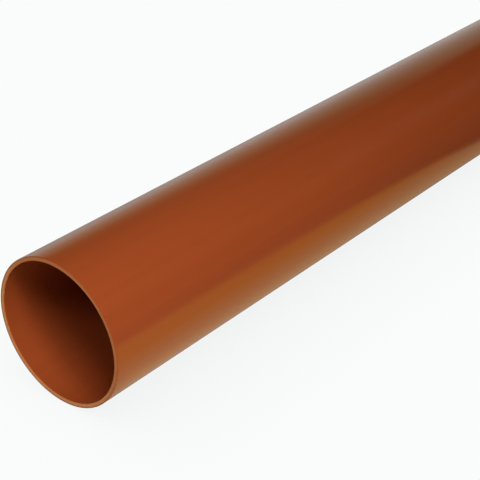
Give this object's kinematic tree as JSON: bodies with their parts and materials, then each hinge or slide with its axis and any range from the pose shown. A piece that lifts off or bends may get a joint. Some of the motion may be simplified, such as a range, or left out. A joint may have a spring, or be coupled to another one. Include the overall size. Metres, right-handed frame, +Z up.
{
  "type": "underground drain pipe",
  "caption": "Straight plain-ended underground drain pipe: a smooth, thin-walled round tube of orange-brown plastic with square-sawn ends, lying on its side.",
  "frame": {"origin": "on the ground under the middle of the pipe's length, straight below its axis", "axes": "+X along the pipe, from one sawn end to the other; +Z up; Y across the pipe. The pipe's own axis runs along X at z = 0.05497 m"},
  "size_m": [3, 0.11, 0.1099],
  "materials": {
    "upvc_pipe": "satin"
  },
  "bodies": {
    "root": {"pipe": "upvc_pipe"}
  },
  "joints": []
}
